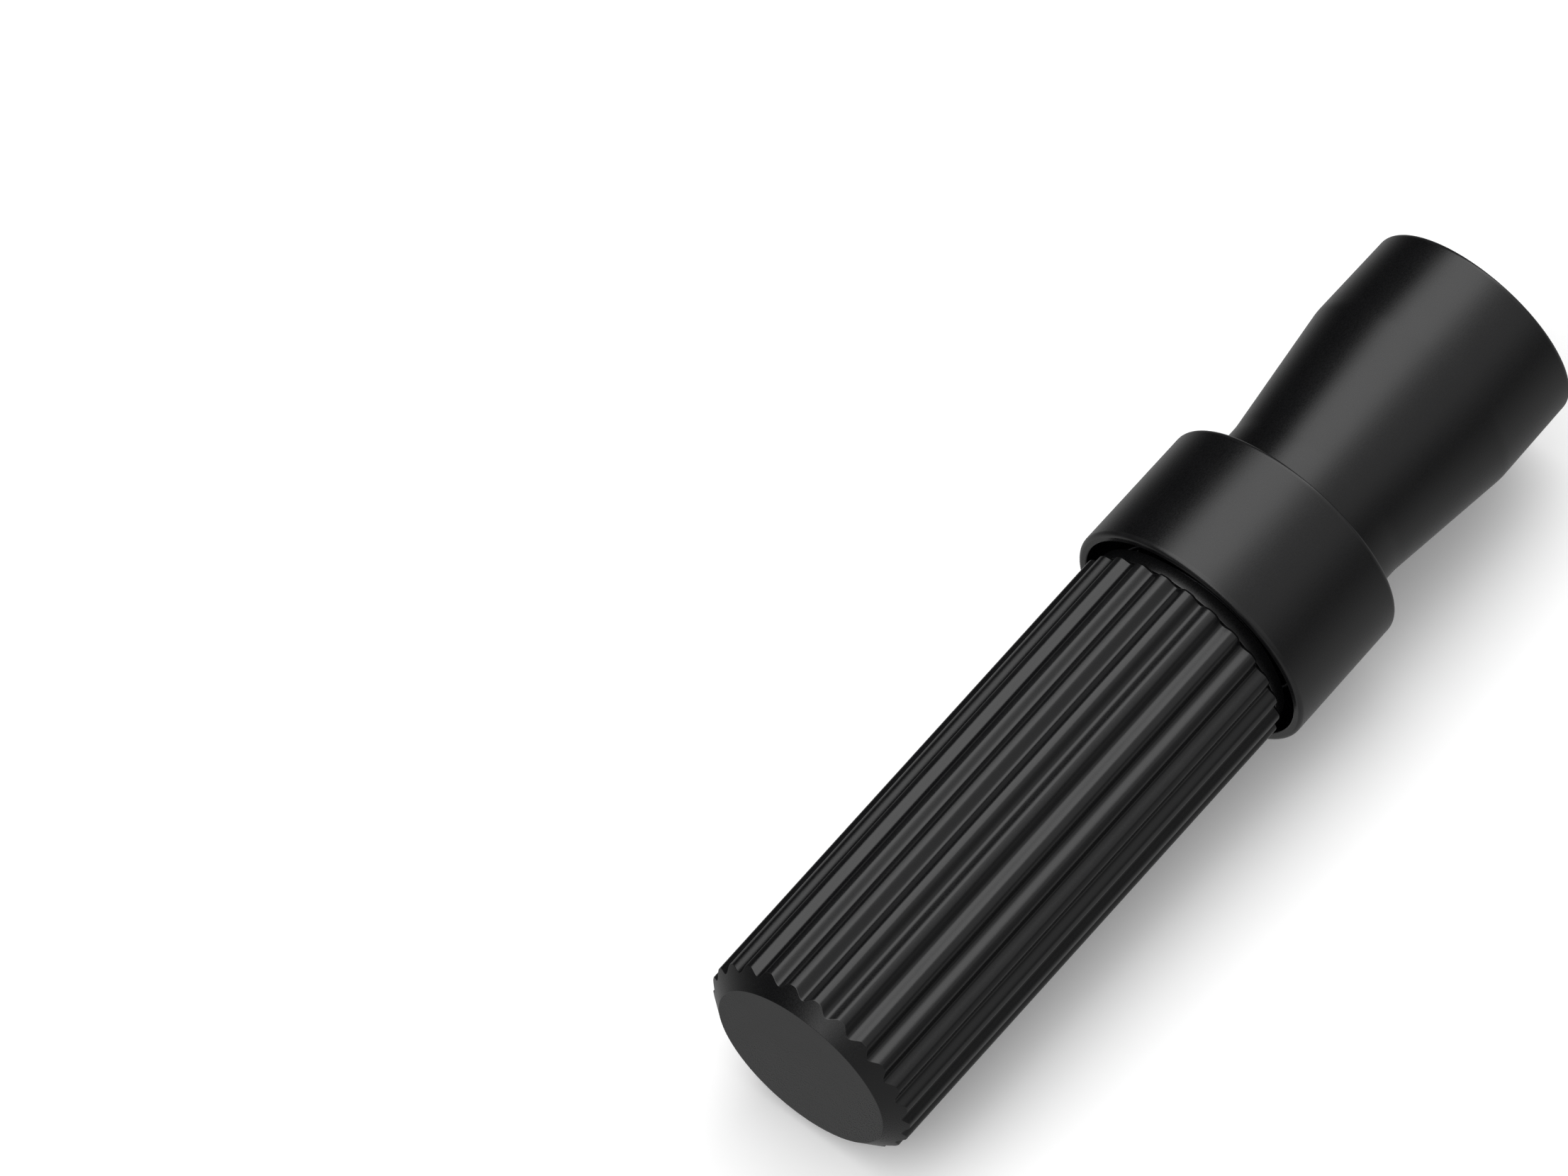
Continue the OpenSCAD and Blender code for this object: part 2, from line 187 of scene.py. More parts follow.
class CollarSizes(bpy.types.PropertyGroup):
    """Sizes of the release collar."""

    taper: length_of("Taper", "How much narrower the front edge is", 0.12 * MM)
    bore: length_of("Bore", "Diameter of the bore that runs on the barrel", 9.86 * MM)
    skirt_bore: length_of("Skirt bore", "Diameter inside the skirt", 14.7 * MM)
    recess: length_of("Recess", "Diameter of the front recess", 12.2 * MM)
    ramp_start: length_of("Ramp start", "From the web's rear face to the ramp", 0.805 * MM)
    ramp_end: length_of("Ramp end", "Diameter at the front end of the ramp", 11.024 * MM)
    edge_round: length_of("Edge rounding", "Radius on the two outer edges", 0.28 * MM)
    inner_round: length_of("Inner rounding", "Radius on the inner edges", 0.1 * MM)


class CapSizes(bpy.types.PropertyGroup):
    """Sizes of the pull-off cap."""

    neck: length_of("Neck", "Diameter of the plain neck", 11.88 * MM)
    rim: length_of("Rim", "Diameter at the far rim", 13.68 * MM)
    flare_start: length_of("Flare start", "From the collar's front face to the flare", 2.7 * MM)
    flare_l: length_of("Flare length", "Length of the flare", 8.4 * MM)
    flare_in: length_of("Lower blend", "Radius between the neck and the flare", 5 * MM)
    flare_out: length_of("Upper blend", "Radius between the flare and the land", 4 * MM)
    bore: length_of("Bore", "Diameter of the bore on the nose", 9.94 * MM)
    tip_bore: length_of("Tip bore", "Diameter of the bore round the tip", 6.8 * MM)
    nose_gap: length_of("Nose gap", "From the nose to the end of the wide bore", 0.4 * MM)
    edge_round: length_of("Edge rounding", "Radius on the far rim", 0.28 * MM)
    inner_round: length_of("Inner rounding", "Radius on the other edges", 0.1 * MM)


class TipSizes(bpy.types.PropertyGroup):
    """Sizes of the tip holder, the tips and the rack of spare tips."""

    stem_l: length_of("Stem length", "Length of stem inside the holder", 6.5 * MM)
    stem_bore: length_of("Stem bore", "Diameter of the bore for a stem", 1.94 * MM)
    holder_chamfer: length_of("Holder chamfer", "Chamfer at both ends of the holder", 0.4 * MM)
    dimple_gap: length_of("Dimple gap", "Gap between a ball and its dimple", 0.05 * MM)
    blade_l: length_of("Blade length", "Length of the flat part of a fork", 3.2 * MM)
    blade_t: length_of("Blade thickness", "Thickness of a fork's blade", 0.7 * MM)
    blade_w: length_of("Blade width", "Width of a fork's blade at its end", 1.5 * MM)
    notch_w: length_of("Notch width", "Width of the notch in a fork", 0.8 * MM)
    notch_l: length_of("Notch depth", "Depth of the notch in a fork", 0.9 * MM)
    pin: length_of("Pin", "Diameter of a pin", 0.8 * MM)
    cone_l: length_of("Cone", "Length of the cone between stem and pin", 1 * MM)
    screw: length_of("Set screw", "Diameter of a set screw", 1.56 * MM)
    screw_clear: length_of("Screw clearance", "Gap between a set screw and its hole", 0.02 * MM)
    screw_in: length_of("Screw place", "Middle of a set screw, from the holder's end", 1.4 * MM)
    screw_low: length_of("Screw sink", "Top of a set screw below the holder's surface", 0.15 * MM)
    hexagon: length_of("Hexagon", "Across the corners of a screw's hexagon", 0.75 * MM)
    hexagon_l: length_of("Hexagon depth", "Depth of a screw's hexagon", 0.6 * MM)
    rack_circle: length_of("Rack circle", "Distance of a spare tip from the axis", 2.3 * MM)
    rack_hole: length_of("Rack hole", "Diameter of a hole in the rack", 2 * MM)
    edge_round: length_of("Edge rounding", "Radius on small edges", 0.05 * MM)


class Finishes(bpy.types.PropertyGroup):
    """Colours and gloss of the finishes."""

    anodised: colour_of("Anodised", "Black of the anodised pieces", (0.0045, 0.0045, 0.0049))
    # Lighter black on edges and ridge crests: partly a handled edge's wear, partly a painted edge highlight.
    anodised_wear_and_sheen: colour_of("Anodised edge", "The same black on a handled edge", (0.012, 0.012, 0.0124))
    anodised_rough: share_of("Anodised roughness", "Roughness of the blasted surface", 0.27)
    rubber: colour_of("Rubber", "Black of the rubber pieces", (0.014, 0.014, 0.014))
    steel: colour_of("Steel", "Colour of bare steel", (0.56, 0.56, 0.57))
    hard_steel: colour_of("Hardened steel", "Colour of the tips", (0.42, 0.42, 0.43))
    oxide: colour_of("Black oxide", "Colour of blackened steel", (0.045, 0.046, 0.05))
    acetal: colour_of("Acetal", "Colour of the rack", (0.72, 0.71, 0.67))


class StageSettings(bpy.types.PropertyGroup):
    """Camera, floor and light."""

    azimuth: angle_of("Azimuth", "Where the camera stands round the tool", -51.12)
    elevation: angle_of("Elevation", "Height of the camera above the horizon", 62.15)
    distance: length_of("Distance", "From the camera to the closed end", 1.8459)
    lens: FloatProperty(name="Lens", description="Focal length", default=768, unit="CAMERA")
    aim_right: length_of("Aim to the right", "Picture's middle, right of the closed end", -0.92 * MM)
    aim_up: length_of("Aim up", "Picture's middle, above the closed end", 26.445 * MM)
    floor_reach: length_of("Floor", "Half of the floor's width", 4)
    level_off: length_of("Level off", "Distance over which the floor's slope fades", 120 * MM)
    floor_colour: colour_of("Floor colour", "Colour of the floor", (0.97, 0.97, 0.97))
    floor_glow: share_of("Floor glow", "Light that comes up through the floor", 0.12)
    light: share_of("Light", "Brightness of the whole light tent", 1.0)


# Outlines and surfaces


def block(first, last, inner, outer):
    """Corners of a section, from first to last along the axis and from inner to outer away from it."""
    return [(first, inner), (first, outer), (last, outer), (last, inner)]


def about_axis(along, away, turn):
    """Points at a place along the axis, a distance from it and an angle round it from its lowest line."""
    return np.stack([along, away * np.sin(turn), AXIS_Z - away * np.cos(turn)], axis=-1)


def half_circle(middle, radius, steps):
    """Outline of a ball of the given radius: a half circle about a middle on the axis."""
    sweep = np.linspace(math.pi, 0, steps)
    return np.column_stack([middle + radius * np.cos(sweep), radius * np.sin(sweep)]), 0 * sweep


def drilled(name, reach_in, reach_out, radius, columns, origin, along):
    """Plain rod that cuts a hole of the given radius, from reach_in to reach_out along its own axis."""
    outline = rounded(block(reach_in, reach_out, 0, radius), 0, steps=1)
    return turned(name, outline, columns=columns, origin=origin, along=along)


def rounded(corners, radii, loop=False, steps=5, wear_and_sheen=None):
    """Outline with straight sides and an arc on each corner, and its share of wear and painted edge highlight
    per point.

    An arc touches both sides at radius / tan(half the corner's angle) from the corner, and its centre lies on
    the bisector. It takes under half of a side. One more point just outside each end of an arc keeps the
    shading of the straight side flat. corners may have leading axes, one outline for each column.
    """
    corners = np.asarray(corners, float)
    middle = corners if loop else corners[..., 1:-1, :]
    to_last = (np.roll(corners, 1, -2) if loop else corners[..., :-2, :]) - middle
    to_next = (np.roll(corners, -1, -2) if loop else corners[..., 2:, :]) - middle
    last_l = np.linalg.norm(to_last, axis=-1, keepdims=True)
    next_l = np.linalg.norm(to_next, axis=-1, keepdims=True)
    to_last, to_next = to_last / last_l, to_next / next_l
    half = np.arccos(np.clip((to_last * to_next).sum(-1, keepdims=True), -1, 1)) / 2
    radii = np.broadcast_to(radii, middle.shape[-2:-1])[:, None]
    touch = np.minimum(radii / np.tan(half), ARC_SHARE * np.minimum(last_l, next_l))
    bisector = to_last + to_next
    bisector /= np.linalg.norm(bisector, axis=-1, keepdims=True)
    centre = (middle + bisector * touch / np.cos(half))[..., None, :]
    swept = (math.pi - 2 * half)[..., None, :]
    start = (middle + to_last * touch)[..., None, :] - centre
    end = (middle + to_next * touch)[..., None, :] - centre
    t = np.linspace(0, 1, steps + 1)[:, None]
    arc = centre + (np.sin((1 - t) * swept) * start + np.sin(t * swept) * end) / np.sin(swept)
    chord = touch * np.tan(half) * swept[..., 0, :] / steps
    guard_last = middle + to_last * (touch + np.minimum(chord, GUARD_SHARE * last_l))
    guard_next = middle + to_next * (touch + np.minimum(chord, GUARD_SHARE * next_l))
    points = np.concatenate([guard_last[..., None, :], arc, guard_next[..., None, :]], axis=-2)
    points = points.reshape(*points.shape[:-3], -1, 2)
    amount = np.zeros((middle.shape[-2], steps + 3))
    amount[:, 1:-1] = np.broadcast_to(1.0 if wear_and_sheen is None else wear_and_sheen, middle.shape[-2:-1])[:, None]
    amount = amount.ravel()
    if not loop:
        points = np.concatenate([corners[..., :1, :], points, corners[..., -1:, :]], axis=-2)
        amount = np.concatenate([[0], amount, [0]])
    return points, amount


def skin(name, grid, ends, wear_and_sheen=None):
    """Closed surface over a grid of points, whose columns run round the piece.

    ends is "loop" where the last row meets the first, "poles" where the first and last rows are single points,
    and "caps" where both are closed by a flat face. The share of edge wear and painted edge highlight at each
    point is kept as a vertex attribute.
    """
    columns = grid.shape[1]
    wear_and_sheen = np.zeros(grid.shape[:2]) if wear_and_sheen is None else wear_and_sheen
    body = grid[1:-1] if ends == "poles" else grid
    amount = (wear_and_sheen[1:-1] if ends == "poles" else wear_and_sheen).ravel()
    vertices = body.reshape(-1, 3)
    index = np.arange(len(vertices)).reshape(-1, columns)
    if ends == "loop":
        index = np.vstack([index, index[:1]])
    beside = np.roll(index, -1, axis=1)
    faces = np.stack([index[:-1], beside[:-1], beside[1:], index[1:]], axis=-1).reshape(-1, 4).tolist()
    if ends == "poles":
        first = np.full(columns, len(vertices))
        vertices = np.vstack([vertices, grid[0, :1], grid[-1, :1]])
        amount = np.append(amount, [0, 0])
        faces += np.column_stack([first, beside[0], index[0]]).tolist()
        faces += np.column_stack([first + 1, index[-1], beside[-1]]).tolist()
    elif ends == "caps":
        faces += [index[0][::-1].tolist(), index[-1].tolist()]
    mesh = bpy.data.meshes.new(name)
    mesh.from_pydata(vertices.tolist(), [], faces)
    mesh.attributes.new("wear_and_sheen", "FLOAT", "POINT").data.foreach_set("value", amount)
    return solid(name, mesh)


def solid(name, mesh):
    """Object of a closed mesh, at the origin, with its faces turned outwards."""
    shape = bmesh.new()
    shape.from_mesh(mesh)
    bmesh.ops.recalc_face_normals(shape, faces=shape.faces)
    shape.to_mesh(mesh)
    shape.free()
    piece = bpy.data.objects.new(name, mesh)
    bpy.context.scene.collection.objects.link(piece)
    return piece


def sides(along):
    """Two unit vectors at right angles to along and to each other."""
    along = np.asarray(along, float)
    first = np.cross(along, (0, 1, 0) if abs(along[1]) < 0.8 else (1, 0, 0))
    first /= np.linalg.norm(first)
    return first, np.cross(along, first)


def turned(name, outline, loop=False, columns=128, origin=(0, 0, AXIS_Z), along=(1, 0, 0)):
    """Surface of revolution: the point (a, r) of an outline becomes a ring of radius r, at a along the axis.

    outline is what rounded() gives. Without loop, its first and last points lie on the axis.
    """
    points, amount = outline
    first, second = sides(along)
    angle = np.linspace(0, FULL_TURN, columns, endpoint=False)[:, None]
    ring = np.cos(angle) * first + np.sin(angle) * second
    grid = np.asarray(origin) + points[:, None, :1] * np.asarray(along) + points[:, None, 1:] * ring
    return skin(name, grid, "loop" if loop else "poles", np.repeat(amount[:, None], columns, axis=1))


def outwards(turn):
    """Direction away from the axis, at an angle round it from the top."""
    return np.array([0, -math.sin(turn), math.cos(turn)])


def prism(name, outline, across, up, half):
    """Flat outline of (x, height) points, drawn on +X and up, with half its thickness on either side."""
    points = np.asarray(outline)
    face = points[:, :1] * np.array([1, 0, 0]) + points[:, 1:] * np.asarray(up)
    grid = np.stack([face - half * np.asarray(across), face + half * np.asarray(across)])
    return skin(name, grid, "caps")


def carve(piece, tools, operation="DIFFERENCE"):
    """Cuts the tools' shapes out of a piece, or keeps what lies inside them, and removes the tools."""
    for tool in tools:
        change = piece.modifiers.new("carve", "BOOLEAN")
        change.operation = operation
        change.solver = "EXACT"
        change.object = tool
    settle(piece)
    for tool in tools:
        bpy.data.meshes.remove(tool.data)
    return piece


def soften(piece, width):
    """Rounds the sharp edges of a carved piece."""
    bevel = piece.modifiers.new("soften", "BEVEL")
    bevel.width = width
    bevel.segments = 2
    bevel.limit_method = "ANGLE"
    bevel.angle_limit = math.radians(35)
    return settle(piece)


def settle(piece):
    """Makes the result of a piece's modifiers its mesh."""
    shown = piece.evaluated_get(bpy.context.evaluated_depsgraph_get())
    mesh = bpy.data.meshes.new_from_object(shown)
    old = piece.data
    piece.modifiers.clear()
    piece.data = mesh
    bpy.data.meshes.remove(old)
    return piece


def gathered(name, pieces):
    """One object that holds several separate solids."""
    shape = bmesh.new()
    for piece in pieces:
        shape.from_mesh(piece.data)
        bpy.data.meshes.remove(piece.data)
    mesh = bpy.data.meshes.new(name)
    shape.to_mesh(mesh)
    shape.free()
    piece = bpy.data.objects.new(name, mesh)
    bpy.context.scene.collection.objects.link(piece)
    return piece


def fitted(piece, node, crease=40):
    """Gives a finished piece its shading, its finish and its body, and lets it stand for its node."""
    piece.data.shade_smooth()
    piece.data.set_sharp_from_angle(angle=math.radians(crease))
    slot = SLOT_OF[node]
    piece.data.materials.clear()
    finish = f"{slot}_finish"
    piece.data.materials.append(bpy.data.materials.get(finish) or FINISHES[slot](finish))
    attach(piece, frame["nodes"][node]["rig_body"])
    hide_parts(node)
    return piece


# Finishes


def add(tree, kind, inputs=None, **settings):
    """New shader node with its settings. An input is either a value or a socket to link it to."""
    node = tree.nodes.new(kind)
    for key, value in settings.items():
        setattr(node, key, value)
    for key, value in (inputs or {}).items():
        if isinstance(value, bpy.types.NodeSocket):
            tree.links.new(value, node.inputs[key])
        else:
            node.inputs[key].default_value = value
    return node


def rgba(colour, scale=1.0):
    """Colour with full cover."""
    return (*(min(1.0, scale * c) for c in colour), 1.0)


def new_finish(name):
    """Material with an empty node tree, and its tree."""
    material = bpy.data.materials.new(name)
    material.use_nodes = True
    material.node_tree.nodes.clear()
    return material, material.node_tree


def speckle(tree, place, size, detail=3.0, roughness=0.55):
    """Noise whose spots are about size across."""
    inputs = {"Vector": place, "Scale": 1 / size, "Detail": detail, "Roughness": roughness}
    return add(tree, "ShaderNodeTexNoise", inputs).outputs["Fac"]


def ranged(tree, value, low, high, start=0.3, stop=0.7):
    """Value carried from start..stop to low..high."""
    inputs = {"Value": value, "From Min": start, "From Max": stop, "To Min": low, "To Max": high}
    return add(tree, "ShaderNodeMapRange", inputs).outputs["Result"]


def mixed(tree, share, first, second):
    """Colour between two colours."""
    node = add(tree, "ShaderNodeMix", data_type="RGBA")
    for key, value in (("Factor_Float", share), ("A_Color", first), ("B_Color", second)):
        socket = next(s for s in node.inputs if s.identifier == key)
        if isinstance(value, bpy.types.NodeSocket):
            tree.links.new(value, socket)
        else:
            socket.default_value = value
    return next(s for s in node.outputs if s.identifier == "Result_Color")


def summed(tree, operation, first, second):
    """Sum, product or other plain operation on two numbers."""
    return add(tree, "ShaderNodeMath", {0: first, 1: second}, operation=operation).outputs[0]


def round_axis(tree, place):
    """Place as (along the axis, distance from the axis, 0), so that a pattern on it runs round the piece."""
    centred = add(tree, "ShaderNodeVectorMath", {0: place, 1: (0, 0, -AXIS_Z)}, operation="ADD").outputs[0]
    parts = add(tree, "ShaderNodeSeparateXYZ", {0: centred})
    flat = add(tree, "ShaderNodeCombineXYZ", {"Y": parts.outputs["Y"], "Z": parts.outputs["Z"]}).outputs[0]
    away = add(tree, "ShaderNodeVectorMath", {0: flat}, operation="LENGTH").outputs["Value"]
    return add(tree, "ShaderNodeCombineXYZ", {"X": parts.outputs["X"], "Y": away}).outputs[0]


def surface(tree, inputs, height, depth):
    """Principled surface with a bump of the given depth, wired to the output."""
    bump = add(tree, "ShaderNodeBump", {"Height": height, "Distance": depth, "Strength": 1.0})
    shader = add(tree, "ShaderNodeBsdfPrincipled", {**inputs, "Normal": bump.outputs[0]})
    add(tree, "ShaderNodeOutputMaterial", {"Surface": shader.outputs[0]})


def object_place(tree):
    """Place on the piece, in metres."""
    return add(tree, "ShaderNodeTexCoord").outputs["Object"]


def anodised_finish(name):
    """Blasted black anodised aluminium: fine grain, faint cloudiness, lighter edges that are part wear, part
    painted highlight.
    """
    look = bpy.context.scene.tool_finishes
    material, tree = new_finish(name)
    place = object_place(tree)
    cloud = speckle(tree, place, 1.6 * MM)
    grain = speckle(tree, place, 0.11 * MM, detail=2.0, roughness=0.6)
    # Lighter black in patches on edges and ridge crests: partly burnished wear, partly a painted edge
    # highlight.
    wear_and_sheen = add(tree, "ShaderNodeAttribute", attribute_name="wear_and_sheen").outputs["Fac"]
    patchy = summed(tree, "MULTIPLY", wear_and_sheen, ranged(tree, cloud, 0.35, 1.0))
    dark = mixed(tree, ranged(tree, grain, 0, 1), rgba(look.anodised, 0.8), rgba(look.anodised, 1.25))
    colour = mixed(tree, patchy, dark, rgba(look.anodised_wear_and_sheen))
    rough = ranged(tree, cloud, look.anodised_rough - 0.015, look.anodised_rough + 0.015)
    rough = summed(tree, "ADD", rough, ranged(tree, grain, -0.03, 0.03))
    rough = summed(tree, "SUBTRACT", rough, summed(tree, "MULTIPLY", patchy, 0.05))
    surface(tree, {"Base Color": colour, "Roughness": rough, "IOR": 1.5}, grain, 0.0022 * MM)
    return material


def rubber_finish(name):
    """Black nitrile rubber: dull, slightly uneven, with dusty specks."""
    look = bpy.context.scene.tool_finishes
    material, tree = new_finish(name)
    place = object_place(tree)
    skin_grain = speckle(tree, place, 0.08 * MM)
    dust = speckle(tree, place, 0.5 * MM, detail=6.0, roughness=0.75)
    colour = mixed(tree, ranged(tree, dust, 0, 0.5, 0.55, 0.75), rgba(look.rubber), rgba(look.rubber, 3.0))
    rough = ranged(tree, skin_grain, 0.5, 0.66)
    surface(tree, {"Base Color": colour, "Roughness": rough, "IOR": 1.52}, skin_grain, 0.004 * MM)
    return material


def bare_steel_finish(name, colour, rough, line, depth):
    """Bare metal with fine lines round the axis, line apart, as a lathe leaves them, and small stains."""
    material, tree = new_finish(name)
    place = object_place(tree)
    lines = speckle(tree, round_axis(tree, place), line, detail=2.0)
    stain = speckle(tree, place, 0.9 * MM, detail=4.0)
    shade = mixed(tree, ranged(tree, stain, 0, 1), rgba(colour, 0.86), rgba(colour, 1.08))
    gloss = ranged(tree, lines, rough - 0.05, rough + 0.05)
    gloss = summed(tree, "ADD", gloss, ranged(tree, stain, -0.03, 0.03))
    surface(tree, {"Base Color": shade, "Roughness": gloss, "Metallic": 1.0}, lines, depth)
    return material


def turned_steel_finish(name):
    """Stainless steel as the lathe left it."""
    return bare_steel_finish(name, bpy.context.scene.tool_finishes.steel, 0.27, 0.05 * MM, 0.0012 * MM)


def polished_finish(name):
    """Ground and lapped bearing steel."""
    return bare_steel_finish(name, bpy.context.scene.tool_finishes.steel, 0.1, 0.3 * MM, 0.0001 * MM)


def hard_steel_finish(name):
    """Hardened and ground tool steel."""
    return bare_steel_finish(name, bpy.context.scene.tool_finishes.hard_steel, 0.3, 0.035 * MM, 0.0014 * MM)


def oxide_finish(name):
    """Black oxide on steel: dark, slightly glossy and cloudy."""
    return bare_steel_finish(name, bpy.context.scene.tool_finishes.oxide, 0.34, 0.09 * MM, 0.0012 * MM)


def acetal_finish(name):
    """Turned natural acetal: waxy, with tool marks round the axis."""
    look = bpy.context.scene.tool_finishes
    material, tree = new_finish(name)
    place = object_place(tree)
    marks = speckle(tree, round_axis(tree, place), 0.08 * MM, detail=2.0)
    wax = speckle(tree, place, 1.2 * MM)
    colour = mixed(tree, ranged(tree, wax, 0, 1), rgba(look.acetal, 0.95), rgba(look.acetal, 1.04))
    rough = ranged(tree, marks, 0.36, 0.48)
    inputs = {"Base Color": colour, "Roughness": rough, "IOR": 1.48}
    inputs.update({"Subsurface Weight": 0.15, "Subsurface Radius": (1, 0.9, 0.7)})
    inputs["Subsurface Scale"] = 0.4 * MM
    surface(tree, inputs, marks, 0.003 * MM)
    return material


FINISHES = {
    "black_anodised": anodised_finish,
    "black_rubber": rubber_finish,
    "black_spring_steel": oxide_finish,
    "polished_steel": polished_finish,
    "turned_steel": turned_steel_finish,
    "hardened_steel": hard_steel_finish,
    "black_oxide_steel": oxide_finish,
    "acetal": acetal_finish,
}


# Pieces that more than one operator needs


def rubber_ring(name, node, seat):
    """Rubber ring: a circle carried round the axis, with a faint mould line inside and outside."""
    low, high = span(node)
    radius = (high - low) / 2
    angle = np.linspace(0, FULL_TURN, 48, endpoint=False)
    line, narrow = 0.012 * MM, 0.05
    section = radius - line + line * np.exp(-((np.sin(angle) / narrow) ** 2))
    along = (low + high) / 2 + section * np.sin(angle)
    away = seat + radius + section * np.cos(angle)
    outline = (np.column_stack([along, away]), np.zeros(len(angle)))
    return fitted(turned(name, outline, loop=True, columns=160), node)


def disc(name, node):
    """Soft disc whose two faces rise a little towards the middle, and whose rim is round."""
    low, high = span(node)
    radius, crown = reach(node), 0.06 * MM
    corners = [(low, 0), (low + crown, radius), (high - crown, radius), (high, 0)]
    return fitted(turned(name, rounded(corners, 0.22 * MM, steps=8), columns=96), node)


def fork(name, start, origin, width, depth):
    """Fork from start along +X: a round stem that thins to a tapered flat blade with a round-bottomed notch.

    width and depth are the directions of the blade's width and of its thickness.
    """
    sizes = bpy.context.scene.tool_tips
    stem = reach("fork_tip")
    first, last = span("fork_tip")
    end = start + last - first
    blade = end - sizes.blade_l
    piece = turned(name, rounded(block(start, end, 0, stem), 0.1 * MM, steps=3), columns=64, origin=origin)
    half_t, half_w = sizes.blade_t / 2, sizes.blade_w / 2
    cutter = stem - half_t
    sweep = np.linspace(0, math.pi / 2, 9)
    ramp = np.column_stack([blade + cutter * np.sin(sweep) - cutter, stem - cutter * (1 - np.cos(sweep))])
    above = [[start - OVER, stem + OVER], [blade - cutter, stem + OVER]]
    upper = np.vstack([above, ramp, [end + OVER, half_t]])
    thickness = np.vstack([upper, upper[::-1] * (1, -1)])
    slope = (stem - half_w) / sizes.blade_l
    edge = half_w - slope * OVER
    taper = [(start - OVER, stem + OVER), (blade, stem + OVER), (blade, stem), (end + OVER, edge)]
    taper = np.vstack([taper, np.array(taper[::-1]) * (1, -1)])
    notch_r = sizes.notch_w / 2
    bottom = end - sizes.notch_l + notch_r
    sweep = np.linspace(math.pi / 2, 3 * math.pi / 2, 17)
    notch = np.column_stack([bottom + notch_r * np.cos(sweep), notch_r * np.sin(sweep)])
    notch = np.vstack([[end + OVER, notch_r], notch, [end + OVER, -notch_r]])
    tools = []
    for points, across, up in ((thickness, width, depth), (taper, depth, width)):
        tools.append(prism("keep", points, across, up, 3 * stem))
    notch_tool = prism("notch", notch, depth, width, 3 * stem)
    for tool in (*tools, notch_tool):
        tool.data.transform(Matrix.Translation(origin))
    carve(piece, tools, "INTERSECT")
    carve(piece, [notch_tool])
    return soften(piece, 0.02 * MM)


def pin(name, start, along, length, origin):
    """Pin from start towards along (1 or -1): a round stem, a cone and a straight pin with a round end."""
    sizes = bpy.context.scene.tool_tips
    stem, thin = reach("pin_tip"), sizes.pin / 2
    places = np.array([0, 0, sizes.stem_l, sizes.stem_l + sizes.cone_l, length, length])
    away = [0, stem, stem, thin, thin, 0]
    corners = np.column_stack([start + along * places, away])
    radii = np.array([0.1, 0.1, 0.2, 0.14]) * MM
    return turned(name, rounded(corners, radii, steps=5), columns=64, origin=origin)


class PieceOperator(bpy.types.Operator):
    """Shared part of the operators that build a piece."""

    bl_options = {"REGISTER", "UNDO"}

    def execute(self, context):
        """Builds the piece, and raises an error if it can't."""
        self.build(context.scene)
        return {"FINISHED"}


class TOOL_OT_grip(PieceOperator):
    """Fluted grip with a chamfered closed end"""

    bl_idname = "springbar.grip"
    bl_label = "Grip"

    def build(self, scene):
        """The ridges are one closed outline across the axis: each groove is one wave of a cosine between two
        lands. Each point of it gives a column, whose own outline along the axis runs from the closed end, over
        the chamfer, to the bore and the store."""
        sizes = scene.tool_grip
        first, last = span("grip")
        top = sizes.diameter / 2
        half_pitch = math.pi / sizes.ridges
        half_groove = half_pitch - math.asin(sizes.land / 2 / top)
        across = np.linspace(-1, 1, 21)
        rise = (1 - np.cos(math.pi * across)) / 2
        middles = sizes.turn + half_pitch * (2 * np.arange(sizes.ridges) + 1)
        turn = (middles[:, None] + half_groove * across).ravel()
        away = np.tile(top - sizes.groove * (1 - rise), sizes.ridges)
        # Ridge crests get the lighter edge black: partly wear of a handled grip, partly a painted highlight
        # along each crest.
        ridge_wear_and_sheen = np.tile(rise ** 8, sizes.ridges)

        face = top - sizes.chamfer_r
        edge = first + (away - face) / sizes.chamfer_r * sizes.chamfer_l
        bore, store = sizes.bore / 2, sizes.store / 2
        step = span("chuck_body")[0] - sizes.edge
        floor = first + sizes.end_wall
        same = np.ones_like(away)
        corners = [
            (first, 0), (first, face), (edge, away), (last - sizes.edge, away), (last, away - sizes.edge),
            (last, bore), (step, bore), (step, store), (floor, store), (floor, 0),
        ]
        corners = np.stack([np.stack([x * same, r * same], axis=-1) for x, r in corners], axis=1)
        points, wear_and_sheen = rounded(corners, sizes.edge_round, steps=5, wear_and_sheen=[1, 1, 1, 1, 1, 0, 0, 0])
        x, r = points[..., 0].T, points[..., 1].T
        grid = about_axis(x, r, turn)
        outside = (x > first + 1.5 * sizes.chamfer_l) & (r > bore + sizes.chamfer_r)
        # Away from the closed end, each column adds the crests' painted highlight and wear to its edges'
        # share.
        wear_and_sheen = np.maximum(wear_and_sheen[:, None] * same, 0.7 * outside * ridge_wear_and_sheen)
        fitted(skin("fluted_grip", grid, "poles", wear_and_sheen), "grip", crease=60)


